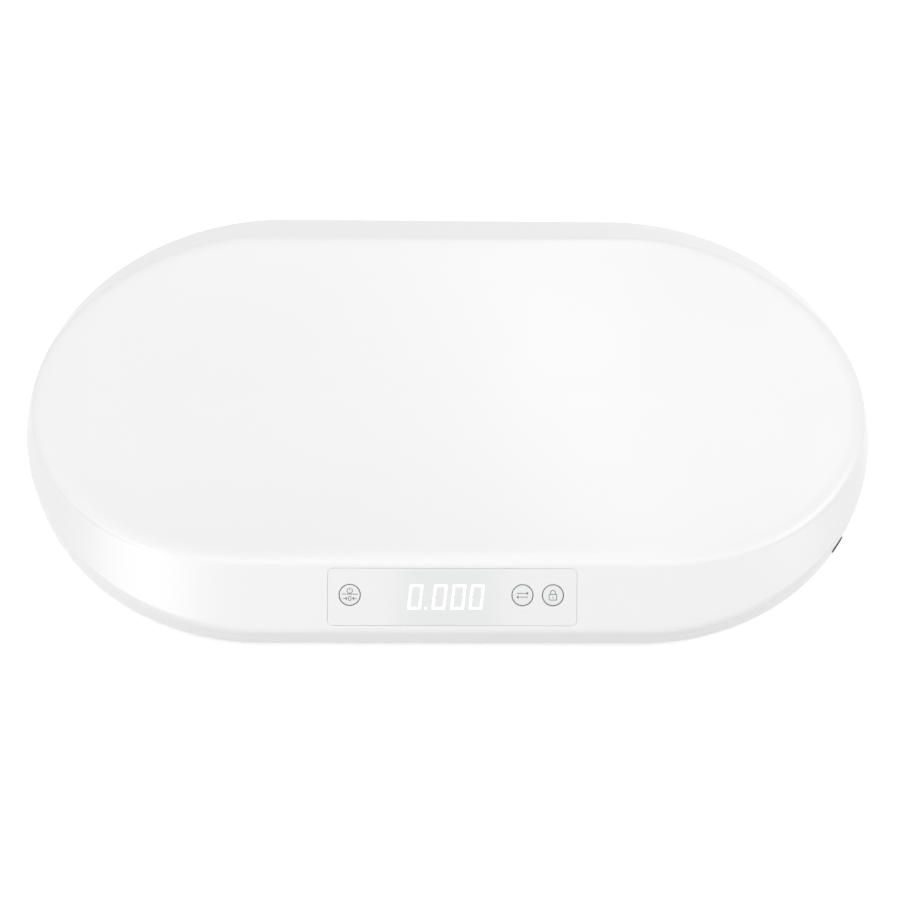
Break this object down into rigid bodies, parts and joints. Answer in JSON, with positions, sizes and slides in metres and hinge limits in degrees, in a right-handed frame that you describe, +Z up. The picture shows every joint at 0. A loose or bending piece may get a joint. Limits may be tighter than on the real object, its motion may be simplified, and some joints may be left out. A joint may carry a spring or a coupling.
{
  "type": "digital baby weighing scale",
  "caption": "Racetrack-shaped baby weighing scale with a shallow dished tray, a sloped front panel with lit digits and round keys, and load-cell feet.",
  "frame": {"origin": "middle of the scale, on the surface that its rubber feet stand on", "axes": "+X along the length to the right as seen from the display, +Y from the display side to the back, +Z up"},
  "size_m": [0.55, 0.32, 0.0476],
  "materials": {
    "white_shell": "satin white moulded plastic",
    "white_panel": "smooth translucent white",
    "white_key": "smooth white with a grey printed ring",
    "foot_plastic": "fine matt moulding",
    "foot_rubber": "matt grey rubber",
    "plated_steel": "zinc plated",
    "black_plastic": "black moulding",
    "board_green": "solder resist on glass laminate",
    "battery_foil": "pouch foil",
    "display_white": "white reflector block with digit windows",
    "lead_red": "red lead sleeve",
    "lead_white": "white lead sleeve"
  },
  "bodies": {
    "housing": {"top_cover": "white_shell", "base_cover": "white_shell", "display_panel": "white_panel", "led_display": "display_white", "display_board": "board_green", "main_board": "board_green", "usb_board": "board_green", "usb_socket": "plated_steel", "battery": "battery_foil", "battery_clip": "foot_plastic", "display_lead": "lead_white", "battery_lead": "lead_red", "socket_lead": "lead_red", "switch_tare": "plated_steel", "switch_unit": "plated_steel", "switch_hold": "plated_steel", "display_screw_left": "plated_steel", "usb_screw_left": "plated_steel", "display_screw_right": "plated_steel", "usb_screw_right": "plated_steel", "main_board_screw_front": "plated_steel", "clip_screw_front": "plated_steel", "main_board_screw_back": "plated_steel", "clip_screw_back": "plated_steel", "body_screw_1": "plated_steel", "body_screw_2": "plated_steel", "body_screw_3": "plated_steel", "body_screw_4": "plated_steel", "body_screw_5": "plated_steel", "body_screw_6": "plated_steel", "body_screw_7": "plated_steel", "body_screw_8": "plated_steel", "load_cell_front_left": "plated_steel", "cell_clamp_front_left": "foot_plastic", "cell_lead_front_left": "lead_white", "load_cell_front_right": "plated_steel", "cell_clamp_front_right": "foot_plastic", "cell_lead_front_right": "lead_white", "load_cell_back_left": "plated_steel", "cell_clamp_back_left": "foot_plastic", "cell_lead_back_left": "lead_white", "load_cell_back_right": "plated_steel", "cell_clamp_back_right": "foot_plastic", "cell_lead_back_right": "lead_white"},
    "key_tare": {"key_tare": "white_key", "plunger_tare": "black_plastic"},
    "key_unit": {"key_unit": "white_key", "plunger_unit": "black_plastic"},
    "key_hold": {"key_hold": "white_key", "plunger_hold": "black_plastic"},
    "foot_front_left": {"foot_cup_front_left": "foot_plastic", "foot_pad_front_left": "foot_rubber"},
    "foot_front_right": {"foot_cup_front_right": "foot_plastic", "foot_pad_front_right": "foot_rubber"},
    "foot_back_left": {"foot_cup_back_left": "foot_plastic", "foot_pad_back_left": "foot_rubber"},
    "foot_back_right": {"foot_cup_back_right": "foot_plastic", "foot_pad_back_right": "foot_rubber"}
  },
  "joints": [
    {"name": "key_tare_press", "type": "slide", "parent": "housing", "child": "key_tare", "axis": [0, 0.5651, -0.825], "range_m": [0, 0.0005], "stiffness_N_per_m": 3000},
    {"name": "key_unit_press", "type": "slide", "parent": "housing", "child": "key_unit", "axis": [0, 0.5651, -0.825], "range_m": [0, 0.0005], "stiffness_N_per_m": 3000},
    {"name": "key_hold_press", "type": "slide", "parent": "housing", "child": "key_hold", "axis": [0, 0.5651, -0.825], "range_m": [0, 0.0005], "stiffness_N_per_m": 3000},
    {"name": "foot_front_left_travel", "type": "slide", "parent": "housing", "child": "foot_front_left", "axis": [0, 0, 1], "range_m": [0, 0.00025], "stiffness_N_per_m": 2000},
    {"name": "foot_front_right_travel", "type": "slide", "parent": "housing", "child": "foot_front_right", "axis": [0, 0, 1], "range_m": [0, 0.00025], "stiffness_N_per_m": 2000},
    {"name": "foot_back_left_travel", "type": "slide", "parent": "housing", "child": "foot_back_left", "axis": [0, 0, 1], "range_m": [0, 0.00025], "stiffness_N_per_m": 2000},
    {"name": "foot_back_right_travel", "type": "slide", "parent": "housing", "child": "foot_back_right", "axis": [0, 0, 1], "range_m": [0, 0.00025], "stiffness_N_per_m": 2000}
  ]
}
